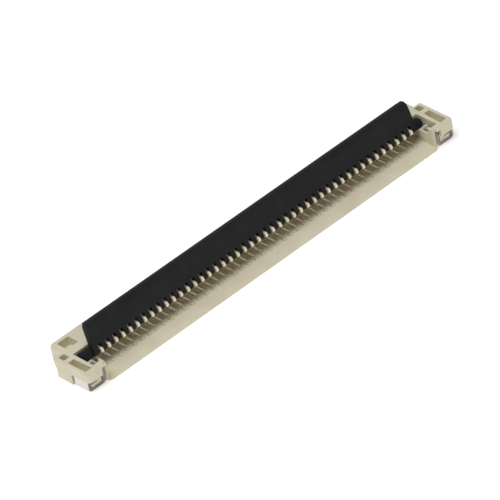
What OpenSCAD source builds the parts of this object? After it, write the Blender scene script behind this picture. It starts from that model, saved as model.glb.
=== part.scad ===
// Board connector for a flat flexible cable, with a flip-up locking bar.
// The cable slides in from the front (-Y) over the floor, between two guide
// walls, and the bar is then swung down over it. Millimetres, +Z up. The
// origin is under the middle of the connector, on the face of the board.

/* [Contacts] */
// Number of contacts in the row
contact_count = 45; // [10:1:56]
// Distance from one contact to the next
pitch = 0.5; // [0.5:0.05:0.7]
// Thickness of the contact sheet
strip = 0.15; // [0.1:0.01:0.16]
// Gap on each side of a contact in its passage
contact_play = 0.03; // [0.02:0.005:0.035]
// Depth of the lower beam
beam_h = 0.1; // [0.08:0.01:0.12]
// Rise of the touching point above the beam
bump_h = 0.035; // [0.02:0.005:0.05]
// Height of the beam above the board
beam_lift = 0.03; // [0.02:0.005:0.04]
// Depth of the upper arm
arm_h = 0.11; // [0.09:0.01:0.11]
// Distance in front of the roof at which the arm levels out
arm_bend = 0.04; // [0:0.01:0.1]
// Distance from the housing's front edge to the noses of the arms
nose_setback = 1.095; // [1.05:0.005:1.12]
// Reach of the lower beam in front of the nose
tip_reach = 0.09; // [0.05:0.01:0.12]
// Length of the touching point on the beam
touch_l = 0.18; // [0.12:0.01:0.22]
// Length of the slope from the touching point down to the beam
touch_slope = 0.32; // [0.2:0.01:0.4]
// How far the nose hangs below the arm
nose_drop = 0.14; // [0.08:0.01:0.16]
// Length of the nose along the arm
nose_l = 0.2; // [0.16:0.01:0.24]
// Rounding of the nose's upper corner
nose_r = 0.14; // [0.05:0.01:0.15]
// Blunting of the sheet's corners
blunt = 0.04; // [0.02:0.005:0.04]
// Fillet between the web and each beam
web_fillet = 0.1; // [0.05:0.01:0.12]
// Length of the pressed-in web
web_l = 0.8; // [0.6:0.05:0.85]
// Height of the pressed-in web
web_h = 0.98; // [0.9:0.01:1]
// Length of the solder tail behind the housing
tail_l = 0.495; // [0.3:0.005:0.7]
// Thickness of the solder tail
tail_t = 0.12; // [0.1:0.01:0.15]

/* [Housing] */
// Depth of the housing, front edge to rear face
housing_d = 3.545; // [3.5:0.005:3.8]
// Height of the housing
housing_h = 1.15; // [1.13:0.01:1.25]
// Thickness of the floor
floor_t = 0.12; // [0.1:0.01:0.13]
// Height of the blunt front edge of the floor
lip_h = 0.05; // [0.03:0.01:0.08]
// Length of the lead-in ramp on the floor
ramp_l = 0.45; // [0.3:0.05:0.6]
// Height of the cable space under the roof
throat_h = 0.35; // [0.3:0.01:0.4]
// Lead-in chamfer under the front of the roof
throat_chamfer = 0.1; // [0.05:0.01:0.15]
// Depth from the front edge to the end of the cable space
throat_d = 2.545; // [2.4:0.005:2.6]
// Length of the open window over each contact arm
arm_window = 0.2; // [0.15:0.01:0.3]
// Undercut of the rear face above the solder tails
undercut = 0.35; // [0.2:0.01:0.4]
// Height at which the undercut starts
undercut_z = 0.5; // [0.45:0.01:0.6]
// Reach of the floor opening beside a contact, from its middle
opening_reach = 0.19; // [0.16:0.01:0.2]
// Distance from the front edge to the floor openings
opening_front = 1.315; // [1.2:0.005:1.5]

/* [Ears] */
// Gap between the cable's edge and the guide wall
cable_play = 0.15; // [0.1:0.01:0.2]
// Thickness of the guide wall
guide_t = 0.12; // [0.1:0.01:0.15]
// Length of the guide wall
guide_l = 0.61; // [0.5:0.01:0.7]
// Height of the sill behind the guide wall, beside the bearing
sill_h = 0.76; // [0.6:0.01:0.8]
// Outward lead-in of the guide wall at the front
guide_flare = 0.06; // [0:0.01:0.08]
// Rounding of the floor's front corners, seen from above
floor_r = 0.3; // [0.1:0.01:0.32]
// Width of an ear beyond the guide wall
ear_w = 1.25; // [1.15:0.01:1.4]
// Setback of the ear behind the floor's front edge
ear_setback = 0.025; // [0:0.005:0.05]
// Length of the wide front part of the ear
ear_l = 2.52; // [2.4:0.01:2.6]
// Step from the wide front part to the rear part
ear_step = 0.45; // [0.35:0.01:0.5]
// Rounding of the ear's front corner
ear_front_r = 0.26; // [0.1:0.01:0.3]
// Rounding of the ear's rear corner
ear_rear_r = 0.38; // [0.2:0.01:0.42]
// Depth of the bar that bridges the leg slot
bridge_d = 0.44; // [0.35:0.01:0.5]
// Width of the slot for the inner leg
leg_slot = 0.28; // [0.22:0.01:0.32]
// Thickness of the bridge over the leg slot
bridge_t = 0.11; // [0.08:0.01:0.14]
// Height of the floor in the bearing pit
pit_floor = 0.25; // [0.2:0.01:0.3]
// Height of the bearing's front wall
cradle_h = 0.72; // [0.65:0.01:0.8]
// Thickness of the bearing's front wall
cradle_t = 0.14; // [0.1:0.01:0.2]
// Wall in front of the moulding pockets
pocket_front = 0.36; // [0.3:0.01:0.5]
// Wall between the moulding pockets and the outer side
pocket_side = 0.18; // [0.12:0.01:0.25]
// Wall between the moulding pockets and the bearing pit
pocket_inside = 0.25; // [0.2:0.01:0.3]
// Rib between the first pocket and the second
pocket_rib = 0.3; // [0.2:0.01:0.4]
// Length of the second pocket
pocket_l = 0.44; // [0.35:0.01:0.5]
// Wall behind the second pocket
pocket_rear = 0.13; // [0.1:0.01:0.2]
// Width of the third pocket, in the rear part
rear_pocket_w = 0.77; // [0.5:0.01:0.8]
// Wall between the third pocket and the outer side
rear_pocket_side = 0.45; // [0.4:0.01:0.6]
// Wall behind the third pocket
rear_pocket_wall = 0.23; // [0.15:0.01:0.3]
// Depth of the moulding pockets
pocket_depth = 0.5; // [0.3:0.01:0.6]
// Corner rounding of the moulding pockets
pocket_r = 0.08; // [0.04:0.01:0.1]

/* [Locking bar] */
// Lean of the open bar from upright
open_lean = 15.5; // [5:0.5:20]
// Height of the bar above its axis
bar_h = 1.705; // [1.5:0.005:1.71]
// Thickness of the bar
bar_t = 0.32; // [0.28:0.01:0.34]
// Distance from the axis to the bar's rear face
bar_offset = 0.174; // [0.15:0.001:0.2]
// Thinning of the bar at its finger edge
finger_taper = 0.05; // [0:0.01:0.08]
// Length of the finger edge
finger_l = 0.38; // [0.2:0.01:0.5]
// Overhang of the finger edge past the last contact
bar_over = 0.29; // [0.2:0.01:0.35]
// Widening of each end of the bar from top to axis
bar_flare = 0.16; // [0.1:0.01:0.17]
// Width of the cut corner of the finger edge
nick_w = 0.1; // [0.02:0.01:0.1]
// Height of the cut corner of the finger edge
nick_h = 0.22; // [0.05:0.01:0.35]
// Chamfer along the front of the bar's foot
bar_blunt = 0.05; // [0.02:0.01:0.08]
// Reach of the bar below its axis
bar_foot = 0.12; // [0.08:0.01:0.16]
// Radius of the teeth around the axis
tooth_r = 0.28; // [0.22:0.01:0.29]
// Width of the slots for the contact arms
comb_slot = 0.24; // [0.22:0.01:0.28]
// Radius of the shaft under the contact arms
shaft_r = 0.12; // [0.1:0.005:0.125]
// Gap between the shaft and the contact arms
shaft_gap = 0.03; // [0.02:0.005:0.04]
// Gap between the nose and the end of a comb slot
nose_gap = 0.03; // [0.02:0.005:0.05]
// Radius of the end journals
journal_r = 0.3; // [0.25:0.01:0.31]
// Chamfer on the end of a journal
journal_blunt = 0.08; // [0.02:0.01:0.12]
// Gap around the end journals
journal_gap = 0.02; // [0.01:0.005:0.03]
// End gap between a journal and its pit
journal_end_gap = 0.14; // [0.05:0.01:0.2]
// Width of the pit beyond the guide wall
pit_w = 0.44; // [0.38:0.01:0.5]
// Distance from the front edge to the axis
axis_d = 1.665; // [1.6:0.005:1.7]
// Height of the axis above the board
axis_z = 0.87; // [0.86:0.005:0.9]

/* [Solder fittings] */
// Thickness of the fitting's sheet
sheet = 0.16; // [0.1:0.01:0.17]
// Inner radius of the fitting's bends
bend_r = 0.05; // [0.03:0.01:0.08]
// Rounding of the fitting's lower rear corner, seen from the side
heel_r = 0.2; // [0.1:0.01:0.3]
// Length of the fitting
fitting_l = 1.06; // [0.9:0.01:1.1]
// Height of the fitting's outer plate
plate_h = 0.585; // [0.5:0.005:0.62]
// Height of the fitting's inner leg
leg_h = 0.9; // [0.8:0.01:0.98]
// Length of the fitting's inner leg
leg_l = 0.85; // [0.6:0.01:0.9]
// Setback of the fitting behind the ear's front face
fitting_setback = 0.17; // [0.1:0.01:0.25]
// Setback of the outer plate from the ear's side
plate_inset = 0.05; // [0.02:0.01:0.08]
// Gap between the leg and the guide wall
leg_gap = 0.05; // [0.03:0.01:0.06]
// Gap between the outer plate and the ear
plate_gap = 0.03; // [0.02:0.005:0.05]
// Width of the window beside the outer plate, in the ear's front
window_w = 0.42; // [0.3:0.01:0.5]
// Height of the window's lower edge
window_z = 0.33; // [0.25:0.01:0.4]
// Height of the window
window_h = 0.25; // [0.15:0.01:0.25]
// Depth of the window behind the outer plate's front edge
window_d = 0.18; // [0.05:0.01:0.2]
// Open notch behind the outer plate
plate_notch = 0.12; // [0.08:0.01:0.25]

/* [Hidden] */
$fn = 48;
EPS = 0.01;
FAR = 5;

row_half = (contact_count - 1) * pitch / 2;
cable_half = row_half + pitch;
guide_in = cable_half + cable_play;
guide_out = guide_in + guide_t;
ear_out = guide_out + ear_w;
rear_out = ear_out - ear_step;
pit_out = guide_out + pit_w;

front_y = -(housing_d + tail_l) / 2;
rear_y = front_y + housing_d;
stop_y = front_y + throat_d;
ear_front = front_y + ear_setback;
ear_rear = ear_front + ear_l;
bridge_rear = ear_front + bridge_d;
axis_y = front_y + axis_d;
seat_r = journal_r + journal_gap;
roof_front = axis_y + seat_r;
journal_end = pit_out - journal_end_gap;

slot_w = strip + 2 * contact_play;
arm_z = axis_z + shaft_r + shaft_gap;
arm_top = arm_z + arm_h;
nose_front = front_y + nose_setback;
tip_y = nose_front - tip_reach;

fitting_front = ear_front + fitting_setback;
fitting_rear = fitting_front + fitting_l;
leg_in = guide_out + leg_gap;
plate_out = ear_out - plate_inset;

FIXED = ["housing", "actuator", "fitting_left", "fitting_right"];

function contact_name(i) = str("contact_", i < 10 ? "0" : "", i);
function contact_x(i) = (i - 1) * pitch - row_half;

// Carries an outline drawn in (y, z) from x0 to x1
module along_x(x0, x1) {
    translate([x0, 0, 0]) rotate([90, 0, 90]) linear_extrude(x1 - x0) children();
}

// A box from its low corner to its high corner
module span(low, high) {
    translate(low) cube(high - low);
}

// Both ends of the connector, from the right-hand one
module both_ends() {
    children();
    mirror([1, 0, 0]) children();
}

// What a round corner of radius r leaves of its square, pointing to +x +y
module corner(r) {
    difference() {
        square(r + EPS);
        circle(r);
    }
}

// A rectangle in plan whose four corners are rounded alike
module pocket_plan(x0, x1, y0, y1) {
    difference() {
        translate([x0, y0]) square([x1 - x0, y1 - y0]);
        for (sx = [0, 1]) for (sy = [0, 1])
            translate([sx ? x1 - pocket_r : x0 + pocket_r, sy ? y1 - pocket_r : y0 + pocket_r])
                mirror([sx ? 0 : 1, 0]) mirror([0, sy ? 0 : 1]) corner(pocket_r);
    }
}

// Floor, cable space and roof, cut across the row
module row_outline() {
    throat_top = floor_t + throat_h;
    polygon([
        [front_y, 0],
        [front_y, lip_h],
        [front_y + ramp_l, floor_t],
        [stop_y, floor_t],
        [stop_y, throat_top],
        [roof_front + throat_chamfer, throat_top],
        [roof_front, throat_top + throat_chamfer],
        [roof_front, housing_h],
        [rear_y, housing_h],
        [rear_y, 0]
    ]);
}

// The solid ear, seen from above
module ear_plan() {
    difference() {
        union() {
            translate([guide_out, ear_front]) square([ear_w, ear_l]);
            translate([guide_out, ear_rear - EPS])
                square([rear_out - guide_out, rear_y - ear_rear + EPS]);
        }
        translate([ear_out - ear_front_r, ear_front + ear_front_r]) mirror([0, 1]) corner(ear_front_r);
        translate([ear_out - pocket_r, ear_rear - pocket_r]) corner(pocket_r);
        translate([rear_out - ear_rear_r, rear_y - ear_rear_r]) corner(ear_rear_r);
    }
}

// The guide wall beside the cable, flared at its front
module guide_plan() {
    y0 = front_y;
    y1 = front_y + guide_l;
    polygon([
        [guide_in + guide_flare, y0],
        [guide_out, y0],
        [guide_out, y1],
        [guide_in, y1],
        [guide_in, y0 + guide_l / 2]
    ]);
}

// The lower sill that carries the guide wall on to the bearing
module sill() {
    span([guide_in, front_y + guide_l - EPS, 0], [guide_out, axis_y - seat_r, sill_h]);
}

// The three moulding pockets in the top of an ear
module ear_pockets() {
    outside = ear_out - pocket_side;
    second_rear = ear_rear - pocket_rear;
    second_front = second_rear - pocket_l;
    first_rear = second_front - pocket_rib;
    third_out = rear_out - rear_pocket_side;
    translate([0, 0, housing_h - pocket_depth]) linear_extrude(FAR) {
        polygon([
            [pit_out + pocket_side, ear_front + pocket_front],
            [outside, ear_front + pocket_front],
            [outside, first_rear],
            [pit_out + pocket_inside, first_rear]
        ]);
        pocket_plan(pit_out + pocket_inside, outside, second_front, second_rear);
        pocket_plan(third_out - rear_pocket_w, third_out, ear_rear, rear_y - rear_pocket_wall);
    }
}

// Bearing pit, leg slot and the recess for the solder fitting
module ear_cuts() {
    cradle_front = axis_y - seat_r - cradle_t;
    plate_in = plate_out - sheet - plate_gap;
    span([guide_out, bridge_rear, pit_floor], [pit_out, cradle_front, FAR]);
    span([guide_out, cradle_front - EPS, cradle_h], [pit_out, axis_y, FAR]);
    span([guide_out, axis_y - seat_r, axis_z], [pit_out, roof_front, FAR]);
    along_x(guide_out, pit_out) translate([axis_y, axis_z]) circle(seat_r);
    span([guide_out, -FAR, -FAR], [guide_out + leg_slot, leg_rear() + leg_gap, housing_h - bridge_t]);
    span([leg_in - plate_gap, -FAR, -FAR], [FAR * 4, fitting_rear + plate_gap, sheet]);
    span([guide_out + leg_slot, -FAR, -FAR], [FAR * 4, fitting_front + plate_gap, plate_h + plate_gap]);
    span([plate_in, -FAR, -FAR], [FAR * 4, fitting_rear + plate_notch, plate_h + plate_gap]);
    span([plate_in - bend_r, -FAR, -FAR], [FAR * 4, fitting_rear + plate_gap, sheet + bend_r + plate_gap]);
    span([plate_in - window_w, -FAR, window_z],
        [plate_in + EPS, fitting_front + window_d, window_z + window_h]);
    linear_extrude(FAR) translate([guide_out - floor_r, front_y + floor_r]) mirror([0, 1])
        corner(floor_r);
    ear_pockets();
}

// The passage of one contact through the floor, the roof and the rear wall
module passage() {
    along_x(-slot_w / 2, slot_w / 2) polygon([
        [tip_y - contact_play, -FAR],
        [tip_y - contact_play, FAR],
        [roof_front + arm_window, FAR],
        [roof_front + arm_window, web_h],
        [rear_y + FAR, web_h],
        [rear_y + FAR, -FAR]
    ]);
    span([-slot_w / 2, front_y + opening_front, -FAR], [opening_reach, roof_front, floor_t + EPS]);
}

module housing() {
    color("antiquewhite") difference() {
        union() {
            along_x(-guide_out, guide_out) row_outline();
            both_ends() {
                linear_extrude(housing_h) ear_plan();
                linear_extrude(housing_h) guide_plan();
                sill();
            }
        }
        for (i = [1:contact_count]) translate([contact_x(i), 0, 0]) passage();
        both_ends() ear_cuts();
        along_x(-ear_out - FAR, ear_out + FAR) polygon([
            [rear_y + EPS, undercut_z + EPS],
            [rear_y - undercut, undercut_z - undercut],
            [rear_y - undercut, -FAR],
            [rear_y + FAR, -FAR],
            [rear_y + FAR, undercut_z + EPS]
        ]);
    }
}

// One contact from the side: two beams, the pressed-in web and the solder tail
module contact_outline() {
    beam_top = beam_lift + beam_h;
    touch_z = beam_top + bump_h;
    web_rear = stop_y + web_l;
    arm_root = web_h - arm_h - blunt;
    nose_rear = nose_front + nose_l;
    nose_z = arm_z - nose_drop;
    difference() {
        polygon([
            [tip_y, beam_lift + blunt],
            [tip_y + blunt, beam_lift],
            [stop_y, beam_lift],
            [stop_y, 0],
            [rear_y + tail_l, 0],
            [rear_y + tail_l, tail_t],
            [web_rear + blunt, tail_t],
            [web_rear, tail_t + blunt],
            [web_rear, web_h],
            [roof_front + arm_window - contact_play, web_h],
            [roof_front - arm_bend, arm_top],
            [nose_front, arm_top],
            [nose_front, nose_z + blunt],
            [nose_front + blunt, nose_z],
            [nose_rear - blunt, nose_z],
            [nose_rear + blunt, arm_z],
            [roof_front - arm_bend - blunt, arm_z],
            [roof_front + arm_window, arm_root],
            [stop_y - web_fillet, arm_root],
            [stop_y, arm_root - web_fillet],
            [stop_y, beam_top + web_fillet],
            [stop_y - web_fillet, beam_top],
            [tip_y + touch_l + touch_slope, beam_top],
            [tip_y + touch_l, touch_z],
            [tip_y + blunt, touch_z],
            [tip_y, touch_z - blunt]
        ]);
        translate([nose_front + nose_r, arm_top - nose_r]) mirror([1, 0]) corner(nose_r);
    }
}

module contact(i) {
    color("gold") translate([contact_x(i), 0, 0]) along_x(-strip / 2, strip / 2) contact_outline();
}

// The bar from the side, in its own upright frame with the axis at the origin
module bar_outline() {
    face = -bar_offset - bar_t;
    polygon([
        [face + finger_taper, bar_h],
        [-bar_offset, bar_h],
        [-bar_offset, -bar_foot],
        [face + bar_blunt, -bar_foot],
        [face, -bar_foot + bar_blunt],
        [face, bar_h - finger_l]
    ]);
}

// The bar from the front, wider at its axis than at its finger edge
module bar_front() {
    top_half = row_half + bar_over;
    root_half = top_half + bar_flare;
    polygon([
        [-root_half, -FAR],
        [root_half, -FAR],
        [root_half, 0],
        [top_half + nick_w, bar_h - nick_h],
        [top_half, bar_h],
        [-top_half, bar_h],
        [-top_half - nick_w, bar_h - nick_h],
        [-root_half, 0]
    ]);
}

module actuator() {
    root_half = row_half + bar_over + bar_flare;
    journal_shoulder = journal_end - journal_blunt;
    comb_r = norm([axis_y - nose_front - nose_r, arm_top - nose_r - axis_z]) + nose_r + nose_gap;
    color("dimgray") translate([0, axis_y, axis_z]) {
        difference() {
            union() {
                rotate([-open_lean, 0, 0]) intersection() {
                    along_x(-root_half, root_half) bar_outline();
                    translate([0, FAR, 0]) rotate([90, 0, 0]) linear_extrude(2 * FAR) bar_front();
                }
                along_x(-root_half, root_half) circle(tooth_r);
            }
            for (i = [1:contact_count]) translate([contact_x(i), 0, 0])
                along_x(-comb_slot / 2, comb_slot / 2) circle(comb_r);
        }
        along_x(-row_half - comb_slot, row_half + comb_slot) circle(shaft_r);
        both_ends() {
            along_x(root_half - EPS, journal_shoulder) circle(journal_r);
            translate([journal_shoulder - EPS, 0, 0]) rotate([0, 90, 0])
                cylinder(h = journal_blunt + EPS, r1 = journal_r, r2 = journal_r - journal_blunt);
        }
    }
}

function leg_rear() = fitting_front + leg_l;

// A quarter bend of the sheet, curving from -x to -y
module bend() {
    difference() {
        intersection() {
            circle(bend_r + sheet);
            mirror([0, 1]) square(bend_r + sheet);
        }
        circle(bend_r);
    }
}

// The folded sheet seen from the front: inner leg, foot and outer plate
module fitting_outline() {
    turn = bend_r + sheet;
    translate([leg_in, turn]) square([sheet, leg_h - turn]);
    translate([leg_in + turn, turn]) mirror([1, 0]) bend();
    translate([leg_in + turn, 0]) square([plate_out - leg_in - 2 * turn, sheet]);
    translate([plate_out - turn, turn]) bend();
    translate([plate_out - sheet, turn]) square([sheet, plate_h - turn]);
}

module fitting() {
    difference() {
        translate([0, fitting_rear, 0]) rotate([90, 0, 0]) linear_extrude(fitting_l) fitting_outline();
        span([guide_out, leg_rear(), sheet], [guide_out + leg_slot, FAR, FAR]);
        along_x(leg_in - EPS, ear_out) translate([fitting_rear - heel_r, heel_r]) mirror([0, 1])
            corner(heel_r);
    }
}

module fitting_right() {
    color("silver") fitting();
}

module fitting_left() {
    color("silver") mirror([1, 0, 0]) fitting();
}

housing();
actuator();
fitting_left();
fitting_right();
for (i = [1:contact_count]) contact(i);
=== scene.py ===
"""Looks of a flat cable connector with a flip-up locking bar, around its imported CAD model.

Everything is in metres in the model's own frame: +X along the row of contacts,
-Y towards the cable, +Z up from the board.
"""
import math

import bpy
import numpy as np
from mathutils import Matrix, Vector


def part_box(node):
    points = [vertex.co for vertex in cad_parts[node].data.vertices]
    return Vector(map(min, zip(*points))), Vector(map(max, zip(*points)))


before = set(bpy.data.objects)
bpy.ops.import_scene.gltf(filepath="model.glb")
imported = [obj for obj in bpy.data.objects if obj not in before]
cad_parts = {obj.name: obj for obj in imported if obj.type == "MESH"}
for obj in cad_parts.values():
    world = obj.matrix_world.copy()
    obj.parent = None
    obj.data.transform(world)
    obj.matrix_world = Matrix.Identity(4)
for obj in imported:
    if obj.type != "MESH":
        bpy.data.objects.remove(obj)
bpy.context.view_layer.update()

MM = 0.001

CAMERA_TURN = 36.81       # degrees from looking along +Y, towards +X
CAMERA_HEIGHT = 36.14     # degrees above the board
CAMERA_ROLL = -11.28      # degrees
CAMERA_AWAY = 329.2 * MM  # from the aim to the lens
CAMERA_SHIFT = (0.443 * MM, 0.530 * MM)  # left and down, so that the part sits in the frame
LENS = 465.4              # focal length for a sensor 36 mm wide
NOSES_BACK = 1.195 * MM   # from the housing's front edge to the middle of the contact noses
NOSES_UP = 1.0 * MM       # height of the noses above the board

HOUSING_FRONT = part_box("housing")[0].y
CONTACTS = sorted(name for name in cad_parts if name.startswith("contact_"))


# ---------------------------------------------------------------- materials

def linear(hex_colour):
    """An sRGB hex colour such as 'C8C4B0' as linear RGBA."""
    channels = [int(hex_colour[i:i + 2], 16) / 255 for i in (0, 2, 4)]
    return [c / 12.92 if c <= 0.04045 else ((c + 0.055) / 1.055) ** 2.4 for c in channels] + [1.0]


def add(tree, kind, values=None, links=None, **settings):
    """Adds one node: its settings, the values of its sockets and the outputs that feed them."""
    node = tree.nodes.new(kind)
    for name, value in settings.items():
        setattr(node, name, value)
    for socket, value in (values or {}).items():
        node.inputs[socket].default_value = value
    for socket, output in (links or {}).items():
        tree.links.new(output, node.inputs[socket])
    return node


def per_metre(millimetres):
    """The noise scale whose features are about this many millimetres across."""
    return 1 / (millimetres * MM)


def material(name):
    """An empty node material and its tree."""
    made = bpy.data.materials.new(name)
    made.use_nodes = True
    made.node_tree.nodes.clear()
    return made, made.node_tree


def ramp(tree, factor, *stops):
    """A colour ramp with stops of (position, hex colour), fed by an output."""
    made = add(tree, "ShaderNodeValToRGB", links={"Fac": factor})
    elements = made.color_ramp.elements
    while len(elements) < len(stops):
        elements.new(1.0)
    for element, (position, colour) in zip(elements, stops):
        element.position, element.color = position, linear(colour)
    return made


def wander(tree, size_mm, detail=4.0):
    """Object coordinates and a slow noise on them, as pigment and flow give a surface."""
    where = add(tree, "ShaderNodeTexCoord")
    noise = add(tree, "ShaderNodeTexNoise", {"Scale": per_metre(size_mm), "Detail": detail},
                {"Vector": where.outputs["Object"]})
    return where, noise


def grain(tree, where, size_mm, height_mm, edge_mm):
    """A fine surface grain on top of edges that a mould or a die leaves slightly round."""
    fine = add(tree, "ShaderNodeTexNoise", {"Scale": per_metre(size_mm), "Detail": 3.0},
               {"Vector": where.outputs["Object"]})
    edge = add(tree, "ShaderNodeBevel", {"Radius": edge_mm * MM}, samples=6)
    return add(tree, "ShaderNodeBump", {"Strength": 0.6, "Distance": height_mm * MM},
               {"Height": fine.outputs["Fac"], "Normal": edge.outputs["Normal"]})


def moulded_cream_lcp():
    """Cream liquid-crystal polymer, injection moulded: satin, and thin walls let warm light through."""
    made, tree = material("cream_lcp_moulded")
    where, noise = wander(tree, 1.6)
    colour = ramp(tree, noise.outputs["Fac"], (0.35, "D9D2B8"), (0.65, "E0DBC4"))
    bump = grain(tree, where, 0.05, 0.004, 0.035)
    rough = add(tree, "ShaderNodeMapRange", {"To Min": 0.46, "To Max": 0.6},
                {"Value": noise.outputs["Fac"]})
    shader = add(tree, "ShaderNodeBsdfPrincipled", {
        "IOR": 1.56, "Subsurface Weight": 0.3, "Subsurface Radius": (1.0, 0.62, 0.26),
        "Subsurface Scale": 0.2 * MM, "Specular IOR Level": 0.4,
    }, {"Base Color": colour.outputs["Color"], "Roughness": rough.outputs["Result"],
        "Normal": bump.outputs["Normal"]})
    add(tree, "ShaderNodeOutputMaterial", links={"Surface": shader.outputs["BSDF"]})
    return made


def moulded_black_lcp():
    """Black carbon-filled polymer, injection moulded: a deep matte black with a spark-eroded grain."""
    made, tree = material("black_lcp_moulded")
    where, noise = wander(tree, 1.1)
    colour = ramp(tree, noise.outputs["Fac"], (0.35, "19191A"), (0.65, "202021"))
    bump = grain(tree, where, 0.04, 0.006, 0.03)
    rough = add(tree, "ShaderNodeMapRange", {"To Min": 0.55, "To Max": 0.68}, {"Value": noise.outputs["Fac"]})
    shader = add(tree, "ShaderNodeBsdfPrincipled", {"IOR": 1.5, "Specular IOR Level": 0.2},
                 {"Base Color": colour.outputs["Color"], "Roughness": rough.outputs["Result"],
                  "Normal": bump.outputs["Normal"]})
    add(tree, "ShaderNodeOutputMaterial", links={"Surface": shader.outputs["BSDF"]})
    return made


def gold_flash():
    """Phosphor bronze, blanked and flashed with matte gold over nickel: pale, warm and bright."""
    made, tree = material("gold_flash_on_bronze")
    where, noise = wander(tree, 0.4)
    colour = ramp(tree, noise.outputs["Fac"], (0.35, "F4E6C2"), (0.65, "FFF4DA"))
    bump = grain(tree, where, 0.03, 0.001, 0.01)
    rough = add(tree, "ShaderNodeMapRange", {"To Min": 0.36, "To Max": 0.5}, {"Value": noise.outputs["Fac"]})
    shader = add(tree, "ShaderNodeBsdfPrincipled", {"Metallic": 0.45},
                 {"Base Color": colour.outputs["Color"], "Roughness": rough.outputs["Result"],
                  "Normal": bump.outputs["Normal"]})
    add(tree, "ShaderNodeOutputMaterial", links={"Surface": shader.outputs["BSDF"]})
    return made


def tin_plate():
    """Phosphor bronze, plated with matte tin and then cut and folded: grey-white faces, with the faces that look to
    the front or back darker, partly the bare cut metal and partly painted shade.
    """
    made, tree = material("matte_tin_plating")
    where, noise = wander(tree, 0.5)
    plated = ramp(tree, noise.outputs["Fac"], (0.35, "D2CEC8"), (0.65, "DFDCD6"))
    # Darker colour for the faces that look to the front or back: partly bare cut metal, partly painted shade as under
    # the ear's overhang.
    cut = ramp(tree, noise.outputs["Fac"], (0.35, "77706B"), (0.65, "968E88"))
    # Mask of faces by how far they look along Y: it places both the cut-edge colour and the painted shade.
    facing = add(tree, "ShaderNodeSeparateXYZ", links={"Vector": where.outputs["Normal"]})
    front_or_rear = add(tree, "ShaderNodeMath", links={0: facing.outputs["Y"]}, operation="ABSOLUTE")
    cut_edge_and_shade_mask = add(tree, "ShaderNodeMapRange", {"From Min": 0.6, "From Max": 0.9}, {"Value": front_or_rear.outputs[0]})
    colour = add(tree, "ShaderNodeMix", links={0: cut_edge_and_shade_mask.outputs["Result"], 6: plated.outputs["Color"],
                                               7: cut.outputs["Color"]}, data_type="RGBA")
    bump = grain(tree, where, 0.03, 0.003, 0.02)
    rough = add(tree, "ShaderNodeMapRange", {"To Min": 0.34, "To Max": 0.48}, {"Value": noise.outputs["Fac"]})
    shader = add(tree, "ShaderNodeBsdfPrincipled", {"Metallic": 1.0},
                 {"Base Color": colour.outputs[2], "Roughness": rough.outputs["Result"],
                  "Normal": bump.outputs["Normal"]})
    add(tree, "ShaderNodeOutputMaterial", links={"Surface": shader.outputs["BSDF"]})
    return made


def white_table():
    """A sheet of white card under a light tent, with the glow that the tent throws back."""
    made, tree = material("white_card")
    where, noise = wander(tree, 40.0)
    colour = ramp(tree, noise.outputs["Fac"], (0.35, "FCFCFC"), (0.65, "FFFFFF"))
    shader = add(tree, "ShaderNodeBsdfPrincipled", {
        "Roughness": 0.9, "Specular IOR Level": 0.2,
        "Emission Color": (1.0, 1.0, 1.0, 1.0), "Emission Strength": 0.3,
    }, {"Base Color": colour.outputs["Color"]})
    add(tree, "ShaderNodeOutputMaterial", links={"Surface": shader.outputs["BSDF"]})
    return made


# ------------------------------------------------------------------- pieces

def sheet_mesh(name, points):
    """A surface from a grid of points, an array of rows x columns x 3, with one quad between each four neighbours."""
    rows, columns = points.shape[:2]
    index = np.arange(rows * columns).reshape(rows, columns)
    quads = np.stack([index[:-1, :-1], index[:-1, 1:], index[1:, 1:], index[1:, :-1]], -1).reshape(-1, 4)
    mesh = bpy.data.meshes.new(name)
    mesh.from_pydata(points.reshape(-1, 3).tolist(), [], quads.tolist())
    made = bpy.data.objects.new(name, mesh)
    bpy.context.scene.collection.objects.link(made)
    return made


def table_top(half_width, drop):
    """A flat square under the part: x and y run from -half_width to half_width, z stays just below the board plane."""
    x, y = np.meshgrid(np.linspace(-half_width, half_width, 5), np.linspace(-half_width, half_width, 5))
    return sheet_mesh("table_top", np.stack([x, y, np.full_like(x, -drop)], -1))


# ------------------------------------------------------------ camera, light

def unit_axes(azimuth, elevation, roll):
    """Right, up and forward of a camera that looks down at the part, all in degrees."""
    a, e, r = (math.radians(v) for v in (azimuth, elevation, roll))
    forward = Vector((math.sin(a) * math.cos(e), math.cos(a) * math.cos(e), -math.sin(e)))
    level = Vector((math.cos(a), -math.sin(a), 0))
    above = level.cross(forward)
    right = math.cos(r) * level + math.sin(r) * above
    up = -math.sin(r) * level + math.cos(r) * above
    return right, up, forward


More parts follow.
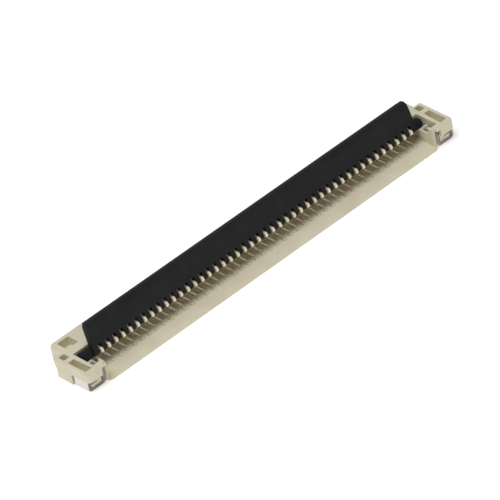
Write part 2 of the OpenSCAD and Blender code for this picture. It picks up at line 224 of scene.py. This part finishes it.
def set_camera():
    """A long lens from the left front, aimed at the middle of the row of contact noses."""
    right, up, forward = unit_axes(CAMERA_TURN, CAMERA_HEIGHT, CAMERA_ROLL)
    noses = Vector((0, HOUSING_FRONT + NOSES_BACK, NOSES_UP))
    place = noses - forward * CAMERA_AWAY - CAMERA_SHIFT[0] * right - CAMERA_SHIFT[1] * up
    data = bpy.data.cameras.new("camera")
    data.sensor_width, data.lens = 36, LENS
    data.clip_start, data.clip_end = 0.01, 10
    camera = bpy.data.objects.new("camera", data)
    camera.matrix_world = Matrix((
        (right.x, up.x, -forward.x, place.x),
        (right.y, up.y, -forward.y, place.y),
        (right.z, up.z, -forward.z, place.z),
        (0, 0, 0, 1),
    ))
    bpy.context.scene.collection.objects.link(camera)
    bpy.context.scene.camera = camera


def soft_box(name, place_mm, size_mm, watts):
    """A square area light that faces the part."""
    data = bpy.data.lights.new(name, "AREA")
    data.size, data.energy = size_mm * MM, watts
    light = bpy.data.objects.new(name, data)
    light.location = Vector(place_mm) * MM
    light.rotation_euler = (-light.location).to_track_quat("-Z", "Y").to_euler()
    bpy.context.scene.collection.objects.link(light)


def set_light():
    """A light tent: even white from all round, and one large soft box overhead, a little to the left."""
    world = bpy.data.worlds.new("light_tent")
    world.use_nodes = True
    world.node_tree.nodes["Background"].inputs["Color"].default_value = (1.0, 1.0, 1.0, 1.0)
    world.node_tree.nodes["Background"].inputs["Strength"].default_value = 0.36
    bpy.context.scene.world = world
    soft_box("key_soft_box", (-75, -10, 270), 170, 0.42)
    bpy.context.scene.view_settings.view_transform = "Standard"


# --------------------------------------------------------------------- make

set_camera()
set_light()

table = table_top(0.6, 0.002 * MM)
table.data.materials.append(white_table())

cream, black, gold, tin = moulded_cream_lcp(), moulded_black_lcp(), gold_flash(), tin_plate()
FINISHES = {"housing": cream, "actuator": black, "fitting_left": tin, "fitting_right": tin}
FINISHES.update({name: gold for name in CONTACTS})

for name, finish in FINISHES.items():
    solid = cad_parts[name]
    solid.data.materials.clear()
    solid.data.materials.append(finish)
